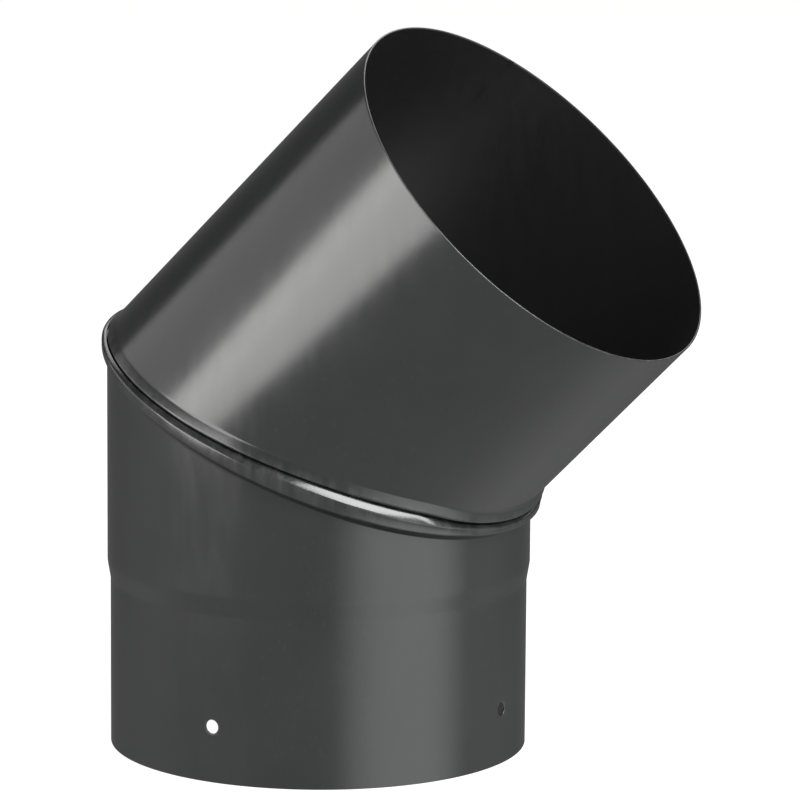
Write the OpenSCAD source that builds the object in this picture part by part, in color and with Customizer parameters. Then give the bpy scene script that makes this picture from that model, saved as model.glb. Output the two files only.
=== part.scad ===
// 45 degree flue elbow for a nominal 150 mm stove pipe: two mitred legs of
// rolled sheet steel, held together by a folded lock seam.
//
// The frame: the spigot's axis is Z, and its open bottom edge lies in z = 0.
// The upper leg leans towards +X. Heights s are measured from the mitre
// plane along its normal, negative on the lower leg and positive on the upper.

/* [Pipe] */
// Inside diameter of both legs, the nominal pipe size
bore_d = 150; // [100:1:200]
// Thickness of the sheet
sheet = 0.7; // [0.6:0.1:1]
// Angle between the two legs' axes
bend_angle = 45; // [30:1:50]
// Height of the mitre's centre above the bottom edge
lower_leg_len = 120; // [115:1:180]
// Length of the upper leg's axis, from the mitre's centre to the rim
upper_leg_len = 121; // [118:1:180]
// Depth of the true cylindrical socket in the upper leg
socket_len = 85; // [60:1:85]

/* [Spigot] */
// Outside diameter of the reduced end that enters the next pipe
spigot_d = 149.2; // [99.2:0.1:199.2]
// Height at which the reduced end stops and the step begins
spigot_len = 60; // [40:1:62]
// Height of the sloping step up to the full diameter
step_len = 6.5; // [4:0.5:8]

/* [Fixing holes] */
// Number of fixing-screw holes round the spigot
hole_count = 4; // [3:1:6]
// Diameter of each hole
hole_d = 5; // [3:0.5:6]
// Height of the holes above the bottom edge
hole_z = 20; // [15:1:30]

/* [Lock seam] */
// How far the lower leg's fold stands out, on average
hem_out = 2.8; // [2.6:0.1:3.6]
// How much further the hem stands out at the throat than on average
hem_gather = 1; // [0:0.1:1]
// Height of the lower leg's fold below the mitre plane
hem_h = 3.9; // [3.7:0.1:5]
// How far the upper leg's bead stands out, on average
bead_out = 2; // [1.6:0.1:2.8]
// How much further the bead stands out at the throat than on average
bead_gather = 0.7; // [0:0.1:0.8]
// Height of the upper leg's bead above the mitre plane
bead_h = 3.2; // [3.1:0.1:5]

/* [Butt welds] */
// Width of the weld that closes each rolled leg
weld_w = 2; // [1.5:0.1:3]
// How far the weld's crown stands above the sheet
weld_crown = 0.4; // [0.2:0.1:0.6]
// Where the welds run, counted round the axis from the throat
weld_angle = 135; // [120:1:150]

/* [Hidden] */
$fn = 96;

bore_r = bore_d / 2;
body_r = bore_r + sheet;
spigot_r = spigot_d / 2;
step_top = spigot_len + step_len;
mitre = bend_angle / 2;

// Space left round the upper leg's hook inside the lower leg's hem
hook_gap = 0.2;
// Space between the hem's lip and the neck that passes through it
lip_gap = 0.3;
hem_r = body_r + hem_out;
hook_r = hem_r - sheet - hook_gap;
bead_r = body_r + bead_out;
// Heights of the layers in the fold, all below the mitre plane
flange_top = -hem_h + sheet;
lip_bottom = -sheet;
hook_top = lip_bottom - hook_gap;
hook_bottom = hook_top - sheet;
// The sealant starts a little outside the bore
sealant_in = 0.2;

// How much the upper leg's radius draws in below its socket
draw_in = 0.05;

// Larger than any part of the elbow, for the cutting blocks
far = 400;
// How far the weld's slot reaches inwards and outwards of the bore's wall
slot_reach = 4;
// How far a cutting solid runs past the face that it cuts
over = 1;

// The space between two planes parallel to the mitre plane, at heights s0 and s1
module mitre_slab(s0, s1) {
    translate([0, 0, lower_leg_len])
        rotate([0, mitre, 0])
            translate([-far / 2, -far / 2, s0])
                cube([far, far, s1 - s0]);
}

// Puts something built along Z onto the upper leg's axis, with z = 0 at the mitre's centre
module on_upper_axis() {
    translate([0, 0, lower_leg_len])
        rotate([0, bend_angle, 0])
            children();
}

// A round bar on the lower leg's axis, moved towards the throat by gather
module lower_bar(r, gather = 0) {
    translate([gather, 0, 0])
        cylinder(r = r, h = far / 2);
}

// A round bar on the upper leg's axis, moved towards the throat by gather
module upper_bar(r, gather = 0) {
    on_upper_axis()
        translate([gather, 0, -far / 2])
            cylinder(r = r, h = far);
}

// A layer of the fold below the mitre plane, of radius r, between heights s0 and s1
module lower_layer(r, gather, s0, s1) {
    intersection() {
        lower_bar(r, gather);
        mitre_slab(s0, s1);
    }
}

// A layer of the bead above the mitre plane, of radius r, between heights s0 and s1
module upper_layer(r, gather, s0, s1) {
    intersection() {
        upper_bar(r, gather);
        mitre_slab(s0, s1);
    }
}

// Everything below the plane of the upper leg's open rim
module below_rim() {
    on_upper_axis()
        translate([-far / 2, -far / 2, upper_leg_len - far])
            cube(far);
}

// The lower leg's rolled tube: spigot, sloping step and full-size body, whose
// outside is raised by crown for the weld
module lower_tube(crown = 0) {
    rotate_extrude()
        polygon([
            [spigot_r - sheet, 0], [spigot_r, 0], [spigot_r, spigot_len],
            [body_r + crown, step_top], [body_r + crown, far / 2], [bore_r, far / 2],
            [bore_r, step_top], [spigot_r - sheet, spigot_len]
        ]);
}

// The slot between the rolled sheet's two edges, from height z0 to z1
module weld_slot(z0, z1) {
    rotate([0, 0, weld_angle])
        translate([bore_r - slot_reach, -weld_w / 2, z0])
            cube([2 * slot_reach, weld_w, z1 - z0]);
}

// The lower leg's part below its fold
module lower_body() {
    intersection() {
        lower_tube();
        mitre_slab(-far, flange_top);
    }
}

// The lower leg's weld reaches up to where the fold begins
module lower_weld_space() {
    intersection() {
        weld_slot(-over, far / 2);
        mitre_slab(-far, -hem_h);
    }
}

module fixing_holes() {
    for (i = [0 : hole_count - 1])
        rotate([0, 90, i * 360 / hole_count])
            translate([-hole_z, 0, spigot_r - sheet - over])
                cylinder(d = hole_d, h = sheet + 2 * over);
}

// The hem: the lower leg's edge turned out, up and back in over the hook
module hem() {
    difference() {
        lower_layer(hem_r, hem_gather, -hem_h, 0);
        lower_layer(hem_r - sheet, hem_gather, flange_top, lip_bottom);
        lower_layer(body_r + lip_gap, 0, lip_bottom - over, over);
        lower_bar(bore_r);
    }
}

module lower_leg() {
    color([0.17, 0.17, 0.18])
        difference() {
            union() {
                lower_body();
                hem();
            }
            fixing_holes();
            lower_weld_space();
        }
}

// A bar that is a cylinder of radius r down to the socket's depth, and a very
// slight taper from there to the mitre, where folding the seam draws the leg in
module socket_bar(r) {
    on_upper_axis()
        rotate_extrude()
            polygon([
                [0, -far / 4], [r - draw_in, -far / 4], [r, upper_leg_len - socket_len],
                [r, far / 2], [0, far / 2]
            ]);
}

// The upper leg's tube between the bead and the rim
module upper_body() {
    difference() {
        intersection() {
            socket_bar(body_r);
            mitre_slab(bead_h - sheet, far);
            below_rim();
        }
        socket_bar(bore_r);
    }
}

// The stop bead, pressed outwards and hollow from the inside
module stop_bead() {
    difference() {
        upper_layer(bead_r, bead_gather, 0, bead_h);
        upper_layer(bead_r - sheet, bead_gather, sheet, bead_h - sheet);
        socket_bar(bore_r);
    }
}

// The neck that passes through the hem's lip, and the hook under the lip
module hook() {
    difference() {
        union() {
            lower_layer(body_r, 0, hook_bottom, 0);
            lower_layer(hook_r, hem_gather, hook_bottom, hook_top);
        }
        lower_bar(bore_r);
    }
}

// The upper leg's weld runs from the bead to the rim
module upper_weld_space() {
    intersection() {
        on_upper_axis()
            weld_slot(-far / 4, upper_leg_len + over);
        mitre_slab(bead_h, far);
    }
}

module upper_leg() {
    color([0.17, 0.17, 0.18])
        difference() {
            union() {
                upper_body();
                stop_bead();
                hook();
            }
            upper_weld_space();
        }
}

// Sealing compound between the lower leg's flange and the upper leg's hook
module seam_sealant() {
    color([0.35, 0.33, 0.3])
        difference() {
            lower_layer(hook_r, hem_gather, flange_top, hook_bottom);
            lower_bar(bore_r + sealant_in);
        }
}

// Butt weld of the lower leg: flush on the spigot, crowned on the body
module lower_leg_weld() {
    color([0.2, 0.2, 0.21])
        intersection() {
            lower_tube(weld_crown);
            lower_weld_space();
        }
}

// Butt weld of the upper leg, crowned from the bead to the rim
module upper_leg_weld() {
    color([0.2, 0.2, 0.21])
        difference() {
            intersection() {
                socket_bar(body_r + weld_crown);
                upper_weld_space();
                below_rim();
            }
            socket_bar(bore_r);
        }
}

lower_leg();
upper_leg();
seam_sealant();
lower_leg_weld();
upper_leg_weld();
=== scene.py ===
import math

import bmesh
import bpy
import numpy as np
from mathutils import Matrix, Vector


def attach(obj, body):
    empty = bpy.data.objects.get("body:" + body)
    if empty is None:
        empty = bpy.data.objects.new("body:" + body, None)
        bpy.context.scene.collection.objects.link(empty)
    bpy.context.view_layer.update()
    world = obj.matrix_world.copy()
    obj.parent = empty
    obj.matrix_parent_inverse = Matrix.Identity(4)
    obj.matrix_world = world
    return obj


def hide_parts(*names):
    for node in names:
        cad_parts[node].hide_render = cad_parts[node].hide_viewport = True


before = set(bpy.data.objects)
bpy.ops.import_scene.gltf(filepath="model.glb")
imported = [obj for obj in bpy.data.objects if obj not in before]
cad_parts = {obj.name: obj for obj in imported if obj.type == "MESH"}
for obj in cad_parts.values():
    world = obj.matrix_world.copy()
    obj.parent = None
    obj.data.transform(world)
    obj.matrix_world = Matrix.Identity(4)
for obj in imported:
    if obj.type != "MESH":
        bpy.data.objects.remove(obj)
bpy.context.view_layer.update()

# ---------------------------------------------------------------- sizes, in millimetres
MM = 0.001
BORE_R = 75.0
SHEET = 0.7
HALF = SHEET / 2
BODY_R = BORE_R + SHEET
WALL_R = BORE_R + HALF           # the middle of the full-size wall
SPIGOT_R = 74.6
SPIGOT_LEN = 60.0
STEP_TOP = 66.5
LOWER_LEN = 120.0
UPPER_LEN = 121.0
BEND = math.radians(45)
MITRE = BEND / 2
HOLES = 4
HOLE_Z = 20.0
HOLE_R = 2.5
PUNCH_R = 0.16                   # rounding of the punched holes' edges
HEM_R, HEM_GATHER = 78.5, 1.0    # the hem's outside, and how far it is moved towards the throat
BEAD_R, BEAD_GATHER = 77.25, 1.1   # and the same for the bead
LIP_IN = BODY_R + 0.3            # where the hem's lip ends, clear of the neck
HOOK_MID = -1.25                 # height of the middle of the upper leg's hook
BEND_R = 0.5                     # radius of the bends at the hook and below the bead
CUT_R = 0.2                      # rounding of a cut edge under its paint
WELD_W = 2.0
WELD_CROWN, WELD_FLUSH = 0.38, 0.04   # height of a bead on the body, and where it is dressed flush
WELD_ANGLE = math.radians(135)
SLOT_HALF = math.asin(WELD_W / 2 / WALL_R)
WALL_START = STEP_TOP + 2.5      # height where the lower leg's plain wall begins
# Rows of the two plain walls, as shares of the way from their lower to their upper end
LOWER_ROWS = (0.06, 0.14, 0.24, 0.35, 0.46, 0.57, 0.68, 0.78, 0.87, 0.94, 0.98, 0.993)
UPPER_ROWS = (0.006, 0.02, 0.05, 0.1, 0.17, 0.26, 0.36, 0.47, 0.58, 0.69, 0.79, 0.88, 0.95,
              0.985, 0.996, 1.0)
# How strong the painted highlight on an edge is, from 0 to 1: at cut edges, on the holes' roundings
# and at their rims
CUT_EDGE_HIGHLIGHT, HOLE_EDGE_HIGHLIGHT, MOUTH_EDGE_HIGHLIGHT = 0.85, 0.9, 0.5
SHARP_ANGLE = math.radians(40)   # edges that turn by more than this are shaded sharp

# ---------------------------------------------------------------- camera
CAM_AZ, CAM_EL, CAM_ROLL = 29.75, 10.729, 0.269
CAM_DIST = 1.926
CAM_LENS, CAM_SENSOR = 242.84, 36.0
ELBOW = Vector((0, 0, LOWER_LEN * MM))
# How far right of and above the elbow's middle the camera points, in metres
AIM_RIGHT, AIM_UP = 0.02871, 0.00382


def toward(az, el):
    """Unit direction, from degrees; az 0 is towards the camera and 90 towards the camera's right."""
    a, e = math.radians(CAM_AZ + az), math.radians(el)
    return Vector((math.sin(a) * math.cos(e), -math.cos(a) * math.cos(e), math.sin(e)))


def make_camera():
    data = bpy.data.cameras.new("camera")
    data.lens, data.sensor_width = CAM_LENS, CAM_SENSOR
    data.clip_start, data.clip_end = 0.05, 60
    cam = bpy.data.objects.new("camera", data)
    bpy.context.scene.collection.objects.link(cam)
    back = toward(0, CAM_EL)
    level = Vector((math.cos(math.radians(CAM_AZ)), math.sin(math.radians(CAM_AZ)), 0))
    upright = back.cross(level)
    roll = math.radians(CAM_ROLL)
    right = math.cos(roll) * level + math.sin(roll) * upright
    up = -math.sin(roll) * level + math.cos(roll) * upright
    place = ELBOW + back * CAM_DIST
    forward = (ELBOW + right * AIM_RIGHT + up * AIM_UP - place).normalized()
    side = forward.cross(up).normalized()
    top = side.cross(forward)
    turned = Matrix((side, top, -forward)).transposed().to_4x4()
    cam.matrix_world = Matrix.Translation(place) @ turned
    bpy.context.scene.camera = cam


# ---------------------------------------------------------------- the grid round the pipe
COLUMNS = 240
PATCH = 4                        # columns and rows from a hole's middle to its patch's edge
ROW_PITCH = 1.95                 # distance between a patch's rows, close to that of its columns
RING_SHARES = (0.62, 0.34, 0.14, 0.0)   # the rings from a patch's edge (1) to its hole's rim (0)
PUNCH_STEPS = (30, 60, 90)       # and those over the rim's rounding, in degrees


def column_angles():
    """Even columns, but with the one at the weld split into the slot's two sides."""
    even = [i * 2 * math.pi / COLUMNS for i in range(COLUMNS)]
    at = round(WELD_ANGLE / (2 * math.pi) * COLUMNS)
    slot = [WELD_ANGLE - SLOT_HALF, WELD_ANGLE + SLOT_HALF]
    return np.array(even[:at] + slot + even[at + 1:]), at


THETA, SLOT_COL = column_angles()
COS, SIN = np.cos(THETA), np.sin(THETA)

TAN_M, COS_M = math.tan(MITRE), math.cos(MITRE)
UP_AXIS = np.array([math.sin(BEND), 0, math.cos(BEND)])
THROAT = np.array([math.cos(BEND), 0, -math.sin(BEND)])
SIDE = np.array([0, 1.0, 0])
ORIGIN = np.array([0, 0, LOWER_LEN])


def on_lower(rho, z, cos=COS, sin=SIN):
    """Points at radius rho and height z on the lower leg's axis."""
    x, y, z = np.broadcast_arrays(rho * cos, rho * sin, z)
    return np.stack([x, y, z], -1)


def on_upper(rho, t, cos=COS, sin=SIN):
    """Points at radius rho and distance t along the upper leg's axis."""
    x, y, t = np.broadcast_arrays(rho * cos, rho * sin, t)
    return ORIGIN + x[..., None] * THROAT + y[..., None] * SIDE + t[..., None] * UP_AXIS


def at_height(rho, s, cos=COS, sin=SIN):
    """Points at radius rho and height s from the mitre plane, on whichever leg s is on."""
    rho, s = np.broadcast_arrays(rho + 0 * cos, s)
    x = rho * cos
    low = on_lower(rho, LOWER_LEN + s / COS_M - x * TAN_M, cos, sin)
    high = on_upper(rho, s / COS_M + x * TAN_M, cos, sin)
    return np.where((s < 0)[..., None], low, high)


def offset_radius(radius, gather, cos=COS, sin=SIN):
    """Distance from the axis to a circle of this radius moved by gather towards the throat."""
    return gather * cos + np.sqrt(radius ** 2 - (gather * sin) ** 2)


def ripple(waves, angles=THETA):
    """A gentle unevenness round the pipe, between -1 and 1."""
    total = sum(a * np.sin(n * angles + p) for n, a, p in waves)
    return total / sum(a for _, a, _ in waves)


# Waves round the pipe, each (number, size, phase)
HAMMERING = [(9, 0.8, 0.4), (17, 1.0, 2.1), (29, 0.7, 4.0), (46, 0.25, 1.3)]
SETTLING = [(5, 0.8, 1.9), (13, 1.0, 0.2), (24, 0.8, 3.3), (38, 0.5, 2.6)]
FOLD_IN = 0.08                   # how far the fold's edge wanders inwards
FOLD_TILT = 0.10                 # and up and down


def worked(rho, s, cos=COS, sin=SIN, angles=THETA):
    """The fold's own unevenness: nothing at the wall, and all of it at the fold's edge."""
    share = np.clip((rho - BODY_R) / (HEM_R - BODY_R), 0, 1.2)
    inward = FOLD_IN * (ripple(HAMMERING, angles) - 1) / 2
    upward = FOLD_TILT * ripple(SETTLING, angles)
    return at_height(rho + share * inward, s + share * upward, cos, sin)


# ---------------------------------------------------------------- the sheet's middle line
BEND_ROOM = 0.48                 # the most of a straight piece that a bend at its end takes up


def rounded_line(corners, bends):
    """Steps along a line with rounded corners, each (rho, s, normal to its outer side, edge
    highlight).

    A corner is (rho, s), numbers or one value for each column. A bend is (radius, count, edge
    highlight) for each corner but the first and last, where count is how many pieces the arc has,
    and edge highlight is the strength of the painted highlight along the bend.
    """
    corners = [np.stack(np.broadcast_arrays(r + 0 * COS, s + 0 * COS)) for r, s in corners]
    ways = [b - a for a, b in zip(corners, corners[1:])]
    lengths = [np.hypot(*w) for w in ways]
    ways = [w / d for w, d in zip(ways, lengths)]

    def step(point, way, wear):
        return point[0], point[1], way[1], -way[0], wear

    steps = [step(corners[0], ways[0], 0.0)]
    for i, (radius, count, wear) in enumerate(bends):
        before, after = ways[i], ways[i + 1]
        turn = np.arctan2(before[0] * after[1] - before[1] * after[0], (before * after).sum(0))
        room = BEND_ROOM * np.minimum(lengths[i], lengths[i + 1])
        reach = np.minimum(radius * np.abs(np.tan(turn / 2)), room)
        radius = reach / np.abs(np.tan(turn / 2))
        side = np.sign(turn)
        centre = corners[i + 1] - before * reach + side * radius * np.stack([-before[1], before[0]])
        first = np.arctan2(before[1], before[0])
        for k in range(count + 1):
            angle = first + turn * k / count
            way = np.stack([np.cos(angle), np.sin(angle)])
            steps.append(step(centre - side * radius * np.stack([-way[1], way[0]]), way, wear))
    steps.append(step(corners[-1], ways[-1], bends[-1][2]))
    return steps


def sides(step, place):
    """The outer and inner points of one step of the line, through the placing function."""
    rho, s, n_rho, n_s = step[:4]
    return place(rho + HALF * n_rho, s + HALF * n_s), place(rho - HALF * n_rho, s - HALF * n_s)


def cap(step, place, sign_along=1, count=3):
    """Rows round a cut end, from its outer side to its inner side; the sheet's line runs out of the
    end, or into it if sign_along is -1."""
    rho, s, n_rho, n_s = step[:4]
    along = -n_s * sign_along, n_rho * sign_along
    rows = []
    for sign in (1, -1):
        turn = [math.radians(90 * i / count) for i in range(1, count + 1)]
        for a in (turn if sign == 1 else [math.radians(90) - b for b in [0] + turn[:-1]]):
            out, across = CUT_R * math.sin(a), sign * (HALF - CUT_R + CUT_R * math.cos(a))
            rows.append(place(rho + out * along[0] + across * n_rho,
                              s + out * along[1] + across * n_s))
    return rows


class Shell:
    """A closed section swept round the pipe, as a grid of rows and columns of vertices.

    The rows run up the outer side, round the end, down the inner side and round the start.
    """

    def __init__(self, outer, end, inner, start, wear):
        self.n, self.e = len(outer), len(end)
        self.rows = [*outer, *end, *reversed(inner), *start]
        self.count = len(self.rows)
        self.columns = len(self.rows[0])
        cuts = self.e, len(start)
        # The cut ends carry the painted edge highlight
        self.wear = [*wear, *[CUT_EDGE_HIGHLIGHT] * cuts[0], *[0.0] * self.n, *[CUT_EDGE_HIGHLIGHT] * cuts[1]]
        self.lining = [*[0.0] * (self.n + cuts[0]), *[1.0] * self.n, *[0.0] * cuts[1]]
        self.points = [np.concatenate(self.rows)]
        self.extra_wear, self.extra_lining = [], []
        self.skip, self.faces = set(), []
        self.made = self.count * self.columns

    def outer(self, k):
        """The row of step k of the sheet's line on its outer side."""
        return k

    def inner(self, k):
        """The row of step k on the inner side."""
        return self.n + self.e + self.n - 1 - k

    def at(self, row, col):
        return (row % self.count) * self.columns + col % self.columns

    def xyz(self, row, col):
        return self.rows[row % self.count][col % self.columns]

    def more(self, points, wear, lining):
        """Adds vertices that aren't in the grid, and gives their numbers."""
        first = self.made
        self.points.append(np.array(points))
        self.extra_wear += [wear] * len(points)
        self.extra_lining += [lining] * len(points)
        self.made += len(points)
        return list(range(first, self.made))

    def face_across(self, one, two):
        """A face through the sheet, between two (step, column) places on the line."""
        (k, a), (m, b) = one, two
        self.faces.append([self.at(self.outer(k), a), self.at(self.outer(m), b),
                           self.at(self.inner(m), b), self.at(self.inner(k), a)])

    def cut_slot(self, top):
        """Opens the butt weld's slot, from the bottom edge to row top, and closes its sides."""
        c = SLOT_COL
        last_inner = self.inner(0)
        self.skip |= {(r, c) for r in range(top)}
        self.skip |= {(self.inner(k + 1), c) for k in range(top)}
        self.skip |= {(r, c) for r in range(last_inner, self.count)}
        for col in (c, c + 1):
            for k in range(top):
                self.face_across((k, col), (k + 1, col))
            rim = [self.at(r, col) for r in range(last_inner, self.count)]
            self.faces.append([*rim, self.at(self.outer(0), col)])
        self.face_across((top, c), (top, c + 1))

    def cut_slot_to_rim(self, first):
        """Opens the slot from row first up through the rim, and closes its sides."""
        c, last = SLOT_COL, self.n - 1
        self.skip |= {(r, c) for r in range(first, self.inner(first))}
        for col in (c, c + 1):
            for k in range(first, last):
                self.face_across((k, col), (k + 1, col))
            rim = range(self.outer(last), self.inner(last) + 1)
            self.faces.append([self.at(r, col) for r in rim])
        self.face_across((first, c), (first, c + 1))

    def drill(self, first, angle):
        """A round hole through the wall, in the square patch of rows that starts at row first."""
        col = int(np.argmin(np.abs(np.angle(np.exp(1j * (THETA - angle))))))
        er = np.array([math.cos(angle), math.sin(angle), 0])
        et = np.array([-math.sin(angle), math.cos(angle), 0])

        def at_mouth(x, y, depth):
            return er * depth + et * x + np.array([0, 0, HOLE_Z + y])

        size = 2 * PATCH
        corner = [(size, j) for j in range(PATCH, size)] + [(size - j, size) for j in range(size)]
        corner += [(0, size - j) for j in range(size)] + [(j, 0) for j in range(size)]
        corner += [(size, j) for j in range(PATCH)]
        loops = []
        both = (self.outer, 0.0, SPIGOT_R), (self.inner, 1.0, SPIGOT_R - SHEET)
        for side, lining, radius in both:
            for k in range(size):
                r = min(side(first + k), side(first + k + 1))
                self.skip |= {(r, (col - PATCH + j) % self.columns) for j in range(size)}
            edge = [(side(first + j), col - PATCH + i) for i, j in corner]
            flat = []
            for r, c in edge:
                p = self.xyz(r, c)
                flat.append((p @ et, p[2] - HOLE_Z))
            rings = [[self.at(r, c) for r, c in edge]]
            # The ring at the hole's rim and those over its rounding carry the painted edge highlight
            mouth = HOLE_R + PUNCH_R
            for share in RING_SHARES:
                ring = []
                for i, (a, b) in enumerate(flat):
                    turn = 2 * math.pi * i / len(flat)
                    x = share * a + (1 - share) * mouth * math.cos(turn)
                    y = share * b + (1 - share) * mouth * math.sin(turn)
                    ring.append(at_mouth(x, y, math.sqrt(radius ** 2 - x * x)))
                rings.append(self.more(ring, MOUTH_EDGE_HIGHLIGHT if share == 0 else 0.0, lining))
            for step in PUNCH_STEPS:
                a = math.radians(step)
                r, deep = mouth - PUNCH_R * math.sin(a), PUNCH_R * (1 - math.cos(a))
                ring = []
                for i in range(len(flat)):
                    turn = 2 * math.pi * i / len(flat)
                    x, y = r * math.cos(turn), r * math.sin(turn)
                    depth = math.sqrt(radius ** 2 - x * x) + (deep if lining else -deep)
                    ring.append(at_mouth(x, y, depth))
                rings.append(self.more(ring, HOLE_EDGE_HIGHLIGHT, 0.0))
            loops.append(rings)
        chain = [*loops[0], *reversed(loops[1])]
        for one, two in zip(chain, chain[1:]):
            for i in range(len(one)):
                j = (i + 1) % len(one)
                self.faces.append([one[i], one[j], two[j], two[i]])

    def build(self, name, material):
        for r in range(self.count):
            for c in range(self.columns):
                if (r, c) not in self.skip:
                    self.faces.append([self.at(r, c), self.at(r, c + 1),
                                       self.at(r + 1, c + 1), self.at(r + 1, c)])
        # Per vertex: the strength of the painted edge highlight, and the lining
        wear = np.repeat(self.wear, self.columns).tolist() + self.extra_wear
        lining = np.repeat(self.lining, self.columns).tolist() + self.extra_lining
        return make_object(name, np.concatenate(self.points), self.faces, material,
                           {"wear": wear, "lining": lining})


def make_object(name, points, faces, material, attributes=None):
    """A mesh of these points, given in millimetres, with outward normals and smooth shading."""
    mesh = bpy.data.meshes.new(name)
    mesh.from_pydata((points * MM).tolist(), [], faces)
    for key, values in (attributes or {}).items():
        mesh.attributes.new(key, "FLOAT", "POINT").data.foreach_set("value", values)
    bm = bmesh.new()
    bm.from_mesh(mesh)
    bmesh.ops.delete(bm, geom=[v for v in bm.verts if not v.link_faces], context="VERTS")
    bmesh.ops.recalc_face_normals(bm, faces=bm.faces)
    for f in bm.faces:
        f.smooth = True
    bm.to_mesh(mesh)
    bm.free()
    mesh.set_sharp_from_angle(angle=SHARP_ANGLE)
    mesh.materials.append(material)
    obj = bpy.data.objects.new(name, mesh)
    bpy.context.scene.collection.objects.link(obj)
    return obj


# ---------------------------------------------------------------- the lower leg
def rounded_corner(before, corner, after, radius, count):
    """Points and outer normals round one corner of the line, for a gentle bend."""
    def unit(a, b):
        d = math.hypot(b[0] - a[0], b[1] - a[1])
        return (b[0] - a[0]) / d, (b[1] - a[1]) / d

    d0, d1 = unit(before, corner), unit(corner, after)
    a0, a1 = math.atan2(d0[1], d0[0]), math.atan2(d1[1], d1[0])
    reach = radius * abs(math.tan((a1 - a0) / 2))
    p = (corner[0] - d0[0] * reach, corner[1] - d0[1] * reach)
    sign = 1 if a1 > a0 else -1
    centre = (p[0] - sign * radius * math.sin(a0), p[1] + sign * radius * math.cos(a0))
    out = []
    for i in range(count + 1):
        a = a0 + (a1 - a0) * i / count
        out.append((centre[0] + sign * radius * math.sin(a), centre[1] - sign * radius * math.cos(a),
                    math.sin(a), -math.cos(a)))
    return out


def ease(value, low, high):
    """0 below low and 1 above high, with a smooth change between them."""
    share = np.clip((value - low) / (high - low), 0, 1)
    return share * share * (3 - 2 * share)


# The fold in section. The lower leg flares out to its hem and folds back in and up as a slanted
# lip; the upper leg comes down over a small bead to its neck and goes through the lip as a hook.
# Heights are from the mitre plane. Radii of bends are on the middle of the sheet.
UNDERCUT = math.radians(50)      # how far the hem's underside leans out from the wall
LIP_SLANT = math.radians(44)     # how far the lip's face leans in towards the neck
LIP_WIDTH = 0.95                 # the least width of the lip
LIP_GAP = 0.68                   # height from the lip's top to the bead's underside
BEAD_RISE, BEAD_FALL = 0.62, 3.6   # heights of the bead's underside and of the slope above it
HOOK_GAP = 0.82                  # from the flare to the hook's tip
HEM_DEPTH, HEM_DROP = 4.2, 0.9   # depth of the hem's foot in the throat, and how much more at a side
EDGE_DEPTH, EDGE_DROP = 0.2, 0.45   # the same of its edge, at a side and at the heel, unraised
BACK_LIP = 0.6                   # rise of the lip at the heel, as a share of its rise in front
THROAT_PRESS = 0.75              # share of that rise that is pressed flat in the throat
FOLD_START = -6.3                # where the lower wall ends and the fold's rows begin
FOLD_CLEAR = 1.5                 # height from the bead to where the fold's rows end
RISE_SIZE, RISE_ANGLE = 2.1, math.radians(52)   # how much the fold rises off the throat, and where

FROM_THROAT = np.abs(np.angle(np.exp(1j * THETA)))
PINCH = ease(COS, 0.80, 0.98)    # 1 in the throat, where the fold is pressed flatter
FRONT = ease(COS, -0.2, 0.5)     # 1 on the throat's side, where the lip is steeper
RISE = RISE_SIZE * np.clip(np.cos(FROM_THROAT - RISE_ANGLE), 0, 1) ** 4
HEM_OUT = offset_radius(HEM_R, HEM_GATHER) - HALF
BEAD_OUT = offset_radius(BEAD_R, BEAD_GATHER) - HALF
LIP_END = np.minimum(LIP_IN + CUT_R, HEM_OUT - LIP_WIDTH)
HEM_FOOT = -HEM_DEPTH - HEM_DROP * np.abs(SIN)                  # where the lower wall flares out
HEM_SIDE = HEM_FOOT + (HEM_OUT - WALL_R) / math.tan(UNDERCUT)   # foot of the hem's upright edge
HEM_EDGE = -EDGE_DEPTH - EDGE_DROP * np.abs(COS) * (1 - PINCH) + RISE   # and its top
LIP_SHARE = (BACK_LIP + (1 - BACK_LIP) * FRONT) * (1 - THROAT_PRESS * PINCH)
LIP_TOP = HEM_EDGE + (HEM_OUT - LIP_END) / math.tan(LIP_SLANT) * LIP_SHARE
BEAD_FOOT = LIP_TOP + LIP_GAP
BEAD_EDGE = BEAD_FOOT + BEAD_RISE
BEAD_TOP = BEAD_EDGE + BEAD_FALL
WALL_FOOT = BEAD_TOP + FOLD_CLEAR                               # where the upper wall begins
FLARE = np.minimum((HOOK_MID - HALF - HEM_FOOT) / (HEM_SIDE - HEM_FOOT), 1)
HOOK_TIP = WALL_R + (HEM_OUT - WALL_R) * FLARE - HOOK_GAP

# Bends of the two lines, each (radius, pieces of the arc, strength of the painted highlight along it)
LOWER_BENDS = [(0.9, 6, 0.0), (0.8, 7, 0.35), (0.8, 7, 0.6)]
UPPER_BENDS = [(BEND_R, 5, 0.0), (BEND_R, 4, 0.0), (0.6, 9, 0.6), (5.0, 8, 0.0)]
SPIGOT_BEND, STEP_BEND = 5.0, 8.0   # radii of the sloping step's two bends
BEND_PIECES = 4                     # pieces of each of their arcs


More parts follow.
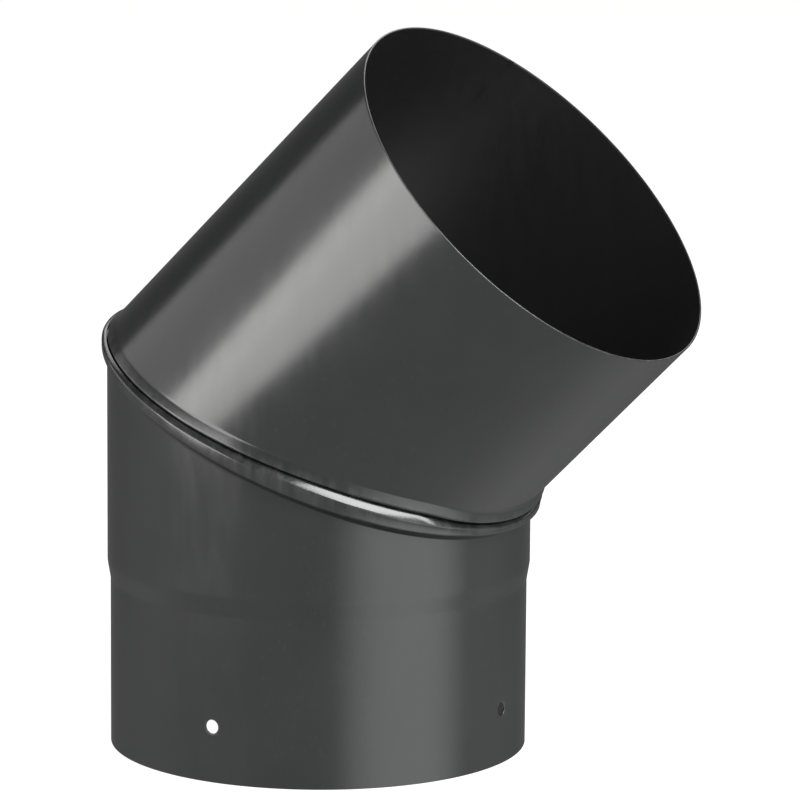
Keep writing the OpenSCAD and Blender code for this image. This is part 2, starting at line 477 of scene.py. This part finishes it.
def lower_leg(material):
    spigot_mid = SPIGOT_R - HALF
    below = [CUT_R, 0.6, 3.0, 7.5]
    patch_rows = [HOLE_Z + ROW_PITCH * i for i in range(-PATCH, PATCH + 1)]
    above = [32.0, 38.0, 44.0, 50.0, 55.0, 58.0]
    outer, inner, wear = [], [], []

    def put(rho, z, n_rho=1.0, n_z=0.0):
        outer.append(on_lower(rho + HALF * n_rho, z + HALF * n_z))
        inner.append(on_lower(rho - HALF * n_rho, z - HALF * n_z))
        wear.append(0.0)

    for z in [*below, *patch_rows, *above]:
        put(spigot_mid, z)
    low, high = (spigot_mid, SPIGOT_LEN), (WALL_R, STEP_TOP)
    for p in rounded_corner((spigot_mid, 0), low, high, SPIGOT_BEND, BEND_PIECES):
        put(*p)
    lean = math.atan2(high[0] - low[0], high[1] - low[1])
    for f in (0.25, 0.5, 0.75):
        put(low[0] + (high[0] - low[0]) * f, low[1] + (high[1] - low[1]) * f,
            math.cos(lean), -math.sin(lean))
    for p in rounded_corner(low, high, (WALL_R, LOWER_LEN), STEP_BEND, BEND_PIECES):
        put(*p)
    put(WALL_R, WALL_START)
    for f in LOWER_ROWS:
        for radius, rows in ((BODY_R, outer), (BORE_R, inner)):
            top = LOWER_LEN + FOLD_START / COS_M - radius * COS * TAN_M
            rows.append(on_lower(radius, WALL_START + (top - WALL_START) * f))
        wear.append(0.0)
    slot_top = len(outer) - 1

    line = rounded_line(
        [(WALL_R, FOLD_START), (WALL_R, HEM_FOOT), (HEM_OUT, HEM_SIDE), (HEM_OUT, HEM_EDGE),
         (LIP_END, LIP_TOP)], LOWER_BENDS)
    for step in line:
        a, b = sides(step, worked)
        outer.append(a)
        inner.append(b)
        wear.append(step[4])
    end = cap(line[-1], worked)
    start = list(reversed(cap((spigot_mid, CUT_R, 1.0, 0.0), on_lower, -1)))
    shell = Shell(outer, end[:-1], inner, start[1:], wear)
    for i in range(HOLES):
        shell.drill(len(below), i * 2 * math.pi / HOLES)
    shell.cut_slot(slot_top)
    return shell.build("lower_leg_sheet", material)


# ---------------------------------------------------------------- the upper leg
def upper_leg(material):
    line = rounded_line(
        [(HOOK_TIP, HOOK_MID), (WALL_R, HOOK_MID), (WALL_R, BEAD_FOOT), (BEAD_OUT, BEAD_EDGE),
         (WALL_R, BEAD_TOP), (WALL_R, WALL_FOOT)], UPPER_BENDS)
    outer, inner, wear = [], [], []
    for step in line:
        a, b = sides(step, worked)
        outer.append(a)
        inner.append(b)
        wear.append(step[4])
    top = UPPER_LEN - CUT_R
    slot_first = len(outer)
    for f in UPPER_ROWS:
        for radius, rows in ((BODY_R, outer), (BORE_R, inner)):
            foot = WALL_FOOT / COS_M + radius * COS * TAN_M
            rows.append(on_upper(radius, foot + (top - foot) * f))
        wear.append(0.0)
    end = cap((WALL_R, top, 1.0, 0.0), on_upper)
    start = list(reversed(cap(line[0], worked, -1)))
    shell = Shell(outer, end[:-1], inner, start[1:], wear)
    shell.cut_slot_to_rim(slot_first)
    return shell.build("upper_leg_sheet", material)


# ---------------------------------------------------------------- the butt welds
WELD_FIT = 0.997                 # the bead's width as a share of its slot's
WELD_PITCH = 1.25                # distance between the bead's ripples
WELD_RIPPLE, WELD_CURVE = 0.1, 1.6   # how strong the ripples are, and how far they bow
WELD_PROUD = 0.002               # how far a bead's edge stands off the sheet, inside and out
WELD_INSET = 0.05                # how far a bead stops short of an open end
WELD_FADE, RIM_FADE = 2.0, 0.8   # lengths over which a bead dies out at the fold and at the rim
LOWER_BEADS, UPPER_BEADS = 520, 560   # rows along the two beads


def weld_strip(name, outer_r, inner_r, crown, along, place, material):
    """A bead in the slot; along is the outer and inner position of each row on the leg's axis."""
    across = np.linspace(-1, 1, 9)
    angles = WELD_ANGLE + across * SLOT_HALF * WELD_FIT
    cos, sin = np.cos(angles), np.sin(angles)
    points, faces = [], []
    for i, (z_out, z_in) in enumerate(along):
        beat = 2 * math.pi * z_out / WELD_PITCH
        scale = 1 - WELD_RIPPLE + WELD_RIPPLE * np.sin(beat + WELD_CURVE * across ** 2)
        bump = crown[i] * (1 - across ** 2) * scale
        points.append(place(outer_r[i] + bump, z_out, cos, sin))
        points.append(place(inner_r[i] + 0 * across, z_in, cos, sin))
    n = len(across)
    ring = [*range(n), *range(2 * n - 1, n - 1, -1)]
    for i in range(len(along) - 1):
        a, b = 2 * n * i, 2 * n * (i + 1)
        for j in range(len(ring)):
            k = (j + 1) % len(ring)
            faces.append([a + ring[j], a + ring[k], b + ring[k], b + ring[j]])
    for a in (0, 2 * n * (len(along) - 1)):
        for j in range(n - 1):
            faces.append([a + j, a + j + 1, a + n + j + 1, a + n + j])
    lining = ([0.0] * n + [1.0] * n) * len(along)
    return make_object(name, np.concatenate(points), faces, material, {"lining": lining})


def lower_weld(material):
    cos_slot = math.cos(WELD_ANGLE)
    tops = [LOWER_LEN + FOLD_START / COS_M - r * cos_slot * TAN_M for r in (BODY_R, BORE_R)]
    tops = [WALL_START + (t - WALL_START) * LOWER_ROWS[-1] for t in tops]
    outer_r, inner_r, crown, along = [], [], [], []
    for i in range(LOWER_BEADS + 1):
        z = WELD_INSET + (tops[0] - WELD_INSET) * i / LOWER_BEADS
        rise = min(max((z - SPIGOT_LEN) / (STEP_TOP - SPIGOT_LEN), 0), 1)
        r = SPIGOT_R + (BODY_R - SPIGOT_R) * rise
        fade = min(1, (tops[0] - z) / WELD_FADE + 0.15)
        outer_r.append(r + WELD_PROUD)
        inner_r.append(r - SHEET - WELD_PROUD)
        crown.append(WELD_FLUSH + (WELD_CROWN - WELD_FLUSH) * rise * fade)
        along.append((z, min(z, tops[1])))
    return weld_strip("lower_leg_weld_bead", outer_r, inner_r, crown, along, on_lower, material)


def upper_weld(material):
    foot = WALL_FOOT[SLOT_COL] / COS_M + BODY_R * math.cos(WELD_ANGLE) * TAN_M
    start = foot + (UPPER_LEN - CUT_R - foot) * UPPER_ROWS[0]
    top = UPPER_LEN - WELD_INSET
    outer_r, inner_r, crown, along = [], [], [], []
    for i in range(UPPER_BEADS + 1):
        t = start + (top - start) * i / UPPER_BEADS
        fade = min(1, (t - start) / WELD_FADE + 0.15, (top - t) / RIM_FADE + 0.1)
        outer_r.append(BODY_R + WELD_PROUD)
        inner_r.append(BORE_R - WELD_PROUD)
        crown.append(WELD_CROWN * fade)
        along.append((t, t))
    return weld_strip("upper_leg_weld_bead", outer_r, inner_r, crown, along, on_upper, material)


# ---------------------------------------------------------------- the sealant in the fold
def sealant_ring(material):
    skin = HALF + 0.02           # just clear of the sheet on either side
    run, rise = HEM_OUT - WALL_R, HEM_SIDE - HEM_FOOT
    length = np.hypot(run, rise)
    face = []                    # up the inside of the lower leg's flare
    for share in (0.12, 0.3, 0.5, 0.7, 0.86):
        rho = WALL_R + run * share - skin * rise / length
        face.append((rho, HEM_FOOT + rise * share + skin * run / length))
    under = HOOK_MID - skin      # back along the underside of the hook
    middle = WALL_R + BEND_R
    for share in (0, 0.5, 1):
        face.append((HOOK_TIP + 0.1 - (HOOK_TIP - middle) * share, under))
    for a in (250, 232, 216):    # round the hook's bend, in degrees
        c, s = math.cos(math.radians(a)), math.sin(math.radians(a))
        face.append((middle + (BEND_R + skin) * c, HOOK_MID + BEND_R + (BEND_R + skin) * s))
    low, high = face[0], face[-1]
    for share in (0.25, 0.5, 0.75):   # and down its own face to the duct, a little sunk
        sunk = 0.12 * math.sin(math.pi * share) * (1.2 + ripple(SETTLING))
        face.append((high[0] + (low[0] - high[0]) * share + sunk,
                     high[1] + (low[1] - high[1]) * share))
    section = [tuple(np.broadcast_arrays(r + 0 * COS, s + 0 * COS)) for r, s in face]
    points = np.concatenate([worked(r, s) for r, s in section])
    n, faces = len(THETA), []
    for i in range(len(section)):
        k = (i + 1) % len(section)
        for c in range(n):
            d = (c + 1) % n
            faces.append([i * n + c, i * n + d, k * n + d, k * n + c])
    return make_object("seam_sealant_ring", points, faces, material)


# ---------------------------------------------------------------- materials
def new_material(name):
    material = bpy.data.materials.new(name)
    material.use_nodes = True
    tree = material.node_tree
    return material, tree, tree.nodes["Principled BSDF"]


def node(tree, kind, inputs=(), **settings):
    """A node with its settings and inputs; an input is a value or another node's output."""
    made = tree.nodes.new(kind)
    for key, value in settings.items():
        setattr(made, key, value)
    for key, value in dict(inputs).items():
        if isinstance(value, bpy.types.NodeSocket):
            tree.links.new(value, made.inputs[key])
        else:
            made.inputs[key].default_value = value
    return made


def noise(tree, where, scale, detail=3.0, rough=0.5):
    made = node(tree, "ShaderNodeTexNoise", {"Vector": where, "Scale": scale, "Detail": detail,
                                             "Roughness": rough})
    return made.outputs["Fac"]


def spread(tree, value, low, high, to_low, to_high):
    """value from low..high mapped to to_low..to_high, and held there beyond them."""
    made = node(tree, "ShaderNodeMapRange", {"Value": value, "From Min": low, "From Max": high,
                                             "To Min": to_low, "To Max": to_high})
    return made.outputs["Result"]


def combine(tree, operation, a, b):
    return node(tree, "ShaderNodeMath", {0: a, 1: b}, operation=operation).outputs[0]


def mix_colour(tree, share, a, b):
    made = node(tree, "ShaderNodeMix", data_type="RGBA")
    for key, value in ((0, share), (6, a), (7, b)):
        if isinstance(value, bpy.types.NodeSocket):
            tree.links.new(value, made.inputs[key])
        else:
            made.inputs[key].default_value = value
    return made.outputs[2]


# The paint's darker and paler tone, its specks, its tone inside the duct, and the paler tone of the
# painted highlight on its edges
PAINT = (0.0052, 0.0055, 0.0057, 1), (0.0076, 0.0079, 0.0081, 1)
SPECK = (0.02, 0.0204, 0.0207, 1)
INSIDE = (0.006, 0.006, 0.0062, 1)
HIGHLIGHT_TONE = (0.026, 0.026, 0.0255, 1)
# The weld's two tones and its pinpoints, and the sealant's two tones and the painted shade in its
# pits
WELD_PAINT = (0.012, 0.0122, 0.0125, 1), (0.024, 0.0235, 0.0225, 1)
PINPOINT = (0.10, 0.097, 0.092, 1)
PUTTY = (0.055, 0.05, 0.045, 1), (0.10, 0.092, 0.082, 1)
PIT_SHADE = (0.02, 0.018, 0.016, 1)


def enamel(name):
    """Satin stove enamel on sheet steel: fine orange peel, slight rolling marks, and a painted
    highlight on its edges.
    """
    material, tree, shader = new_material(name)
    place = node(tree, "ShaderNodeTexCoord").outputs["Object"]
    wear = node(tree, "ShaderNodeAttribute", attribute_name="wear").outputs["Fac"]
    lining = node(tree, "ShaderNodeAttribute", attribute_name="lining").outputs["Fac"]
    blotch = noise(tree, place, 26.0, 4.0, 0.6)
    speck = noise(tree, place, 620.0, 2.0, 0.6)
    drawn = node(tree, "ShaderNodeMapping", {"Vector": place, "Scale": (1, 1, 0.14)}).outputs[0]
    scuff = noise(tree, drawn, 240.0, 5.0, 0.7)
    # Paler paint on the edges and the fold's ridges, broken up by the scuff noise: a painted
    # highlight
    highlight_mask = combine(tree, "MULTIPLY", wear, spread(tree, scuff, 0.42, 0.66, 0.0, 1.0))
    paint = mix_colour(tree, spread(tree, blotch, 0.3, 0.7, 0.0, 1.0), *PAINT)
    paint = mix_colour(tree, spread(tree, speck, 0.62, 0.8, 0.0, 0.5), paint, SPECK)
    paint = mix_colour(tree, lining, paint, INSIDE)
    paint = mix_colour(tree, highlight_mask, paint, HIGHLIGHT_TONE)
    tree.links.new(paint, shader.inputs["Base Color"])
    gloss = spread(tree, blotch, 0.25, 0.75, 0.17, 0.21)
    gloss = combine(tree, "ADD", gloss, spread(tree, scuff, 0.35, 0.75, -0.02, 0.05))
    gloss = combine(tree, "ADD", gloss, spread(tree, lining, 0, 1, 0, 0.16))
    tree.links.new(gloss, shader.inputs["Roughness"])
    peel = combine(tree, "MULTIPLY", noise(tree, place, 950.0, 2.0, 0.5), 0.010)
    dents = combine(tree, "MULTIPLY", noise(tree, place, 22.0, 2.0, 0.4), 0.22)
    grain = combine(tree, "MULTIPLY", scuff, 0.010)
    height = combine(tree, "ADD", combine(tree, "ADD", peel, dents), grain)
    bump = node(tree, "ShaderNodeBump", {"Height": height, "Distance": 0.001, "Strength": 1.0})
    tree.links.new(bump.outputs["Normal"], shader.inputs["Normal"])
    shader.inputs["IOR"].default_value = 1.5
    return material


def weld_enamel():
    """The same kind of paint over a weld: paler, a little uneven, with pale pinpoints."""
    material, tree, shader = new_material("weld_enamel")
    place = node(tree, "ShaderNodeTexCoord").outputs["Object"]
    fine = noise(tree, place, 1500.0, 3.0, 0.6)
    broad = noise(tree, place, 130.0, 3.0, 0.6)
    paint = mix_colour(tree, spread(tree, broad, 0.35, 0.7, 0.0, 1.0), *WELD_PAINT)
    paint = mix_colour(tree, spread(tree, fine, 0.66, 0.78, 0.0, 0.7), paint, PINPOINT)
    lining = node(tree, "ShaderNodeAttribute", attribute_name="lining").outputs["Fac"]
    paint = mix_colour(tree, lining, paint, INSIDE)
    tree.links.new(paint, shader.inputs["Base Color"])
    tree.links.new(spread(tree, broad, 0.3, 0.7, 0.26, 0.42), shader.inputs["Roughness"])
    bump = node(tree, "ShaderNodeBump", {"Height": fine, "Distance": 0.00004, "Strength": 1.0})
    tree.links.new(bump.outputs["Normal"], shader.inputs["Normal"])
    return material


def sealant():
    """Fire sealant: matt, warm grey, with a slightly pitted skin and painted shade in its pits."""
    material, tree, shader = new_material("sealant")
    place = node(tree, "ShaderNodeTexCoord").outputs["Object"]
    pits = noise(tree, place, 1100.0, 4.0, 0.65)
    broad = noise(tree, place, 90.0, 3.0, 0.5)
    tone = mix_colour(tree, spread(tree, broad, 0.3, 0.7, 0.0, 1.0), *PUTTY)
    # Darker where the bump sinks: painted shade in the pits
    tone = mix_colour(tree, spread(tree, pits, 0.25, 0.42, 0.6, 0.0), tone, PIT_SHADE)
    tree.links.new(tone, shader.inputs["Base Color"])
    tree.links.new(spread(tree, pits, 0.3, 0.7, 0.75, 0.95), shader.inputs["Roughness"])
    bump = node(tree, "ShaderNodeBump", {"Height": pits, "Distance": 0.00012, "Strength": 1.0})
    tree.links.new(bump.outputs["Normal"], shader.inputs["Normal"])
    return material


# ---------------------------------------------------------------- studio
FLOOR_GLOW = 0.93
FLOOR_SIZE = 16.0
FLOOR_TONES = (0.11, 0.11, 0.109, 1), (0.13, 0.13, 0.129, 1)
FLOOR_LIGHT = (1.0, 1.0, 0.995, 1)
ROOM_DARK, ROOM_LIGHT = 0.15, 0.86   # brightness of the room behind the object and before it
ROOM_FRONT_EL = -20              # the room's light side is before the object, and a little low
UPPER_ROOM = 0.7                 # how bright the room is above the object, against below it
PATCH_LIGHT = 2.0                # extra brightness of a patch of the room, low at the right
PATCH_AZ, PATCH_EL = 48, -18
# Where each change of brightness starts and ends, as the cosine of the angle from the room's
# front, from the patch's middle and from straight up
ROOM_FADE, PATCH_FADE, UPPER_FADE = (-0.85, 0.15), (0.75, 1.0), (-0.05, 0.15)
WARM, COOL, WHITE = (1.0, 1.0, 0.985), (0.985, 0.99, 1.0), (1, 1, 1)


def floor_material():
    """A pale floor that glows, and is the white background of the picture."""
    material, tree, shader = new_material("pale_floor")
    place = node(tree, "ShaderNodeTexCoord").outputs["Object"]
    tone = mix_colour(tree, noise(tree, place, 60.0, 4.0, 0.6), *FLOOR_TONES)
    tree.links.new(tone, shader.inputs["Base Color"])
    shader.inputs["Roughness"].default_value = 0.9
    shader.inputs["Specular IOR Level"].default_value = 0.1
    shader.inputs["Emission Color"].default_value = FLOOR_LIGHT
    shader.inputs["Emission Strength"].default_value = FLOOR_GLOW
    return material


def softbox(name, az, el, distance, width, height, radiance, colour=WHITE, aim=0.14, upright=False):
    """A rectangular light that faces a point on the z axis, aim metres up.

    radiance is the brightness of its face. An upright one doesn't tilt to its aim.
    """
    data = bpy.data.lights.new(name, "AREA")
    data.shape, data.size, data.size_y = "RECTANGLE", width, height
    data.energy = radiance * math.pi * width * height
    data.color = colour
    light = bpy.data.objects.new(name, data)
    bpy.context.scene.collection.objects.link(light)
    target = Vector((0, 0, aim))
    light.location = target + toward(az, el) * distance
    facing = target - light.location
    if upright:
        facing.z = 0
    light.rotation_mode = "QUATERNION"
    light.rotation_quaternion = facing.to_track_quat("-Z", "Y")
    return light


def room_light():
    """The room round the object: light before it, dark behind it, and a bright patch at the right."""
    world = bpy.data.worlds.new("studio")
    world.use_nodes = True
    tree = world.node_tree
    way = node(tree, "ShaderNodeTexCoord").outputs["Generated"]

    def facing(direction):
        made = node(tree, "ShaderNodeVectorMath", {0: way, 1: direction}, operation="DOT_PRODUCT")
        return made.outputs["Value"]

    def smooth(value, low, high, to_low, to_high):
        made = spread(tree, value, low, high, to_low, to_high)
        made.node.interpolation_type = "SMOOTHSTEP"
        return made

    room = smooth(facing(toward(0, ROOM_FRONT_EL)), *ROOM_FADE, ROOM_DARK, ROOM_LIGHT)
    patch = smooth(facing(toward(PATCH_AZ, PATCH_EL)), *PATCH_FADE, 0.0, PATCH_LIGHT)
    height = spread(tree, facing(Vector((0, 0, 1))), *UPPER_FADE, 1.0, UPPER_ROOM)
    light = combine(tree, "MULTIPLY", room, height)
    light = combine(tree, "ADD", light, patch)
    tree.nodes["Background"].inputs["Color"].default_value = (1, 1, 1, 1)
    tree.links.new(light, tree.nodes["Background"].inputs["Strength"])
    return world


def make_studio():
    bpy.ops.mesh.primitive_grid_add(x_subdivisions=8, y_subdivisions=8, size=FLOOR_SIZE,
                                    location=(0, 0, 0))
    floor = bpy.context.object
    floor.name = "floor"
    floor.data.materials.append(floor_material())
    floor.visible_glossy = False
    bpy.context.scene.world = room_light()
    softbox("left_strip", az=-62, el=9, distance=0.95, width=0.70, height=0.60, radiance=6.5,
            colour=WARM, aim=0.155, upright=True)
    softbox("left_fill", az=-100, el=12, distance=1.05, width=1.15, height=0.70, radiance=1.1,
            colour=WARM, aim=0.15, upright=True)
    softbox("key", az=46, el=35, distance=1.15, width=1.10, height=0.80, radiance=16.0, colour=COOL)
    softbox("back_fill", az=165, el=40, distance=2.0, width=1.8, height=0.9, radiance=2.4)


# ---------------------------------------------------------------- everything together
make_camera()
make_studio()
black = enamel("black_enamel")
weld_paint = weld_enamel()
putty = sealant()

PIECES = [
    (lower_leg(black), "lower_leg", "black_enamel"),
    (upper_leg(black), "upper_leg", "black_enamel"),
    (lower_weld(weld_paint), "lower_leg_weld", "weld_enamel"),
    (upper_weld(weld_paint), "upper_leg_weld", "weld_enamel"),
    (sealant_ring(putty), "seam_sealant", "sealant"),
]
for piece, cad_node, finish in PIECES:
    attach(piece, "root")
    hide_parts(cad_node)

scene = bpy.context.scene
scene.view_settings.view_transform = "Standard"
scene.view_settings.look = "None"
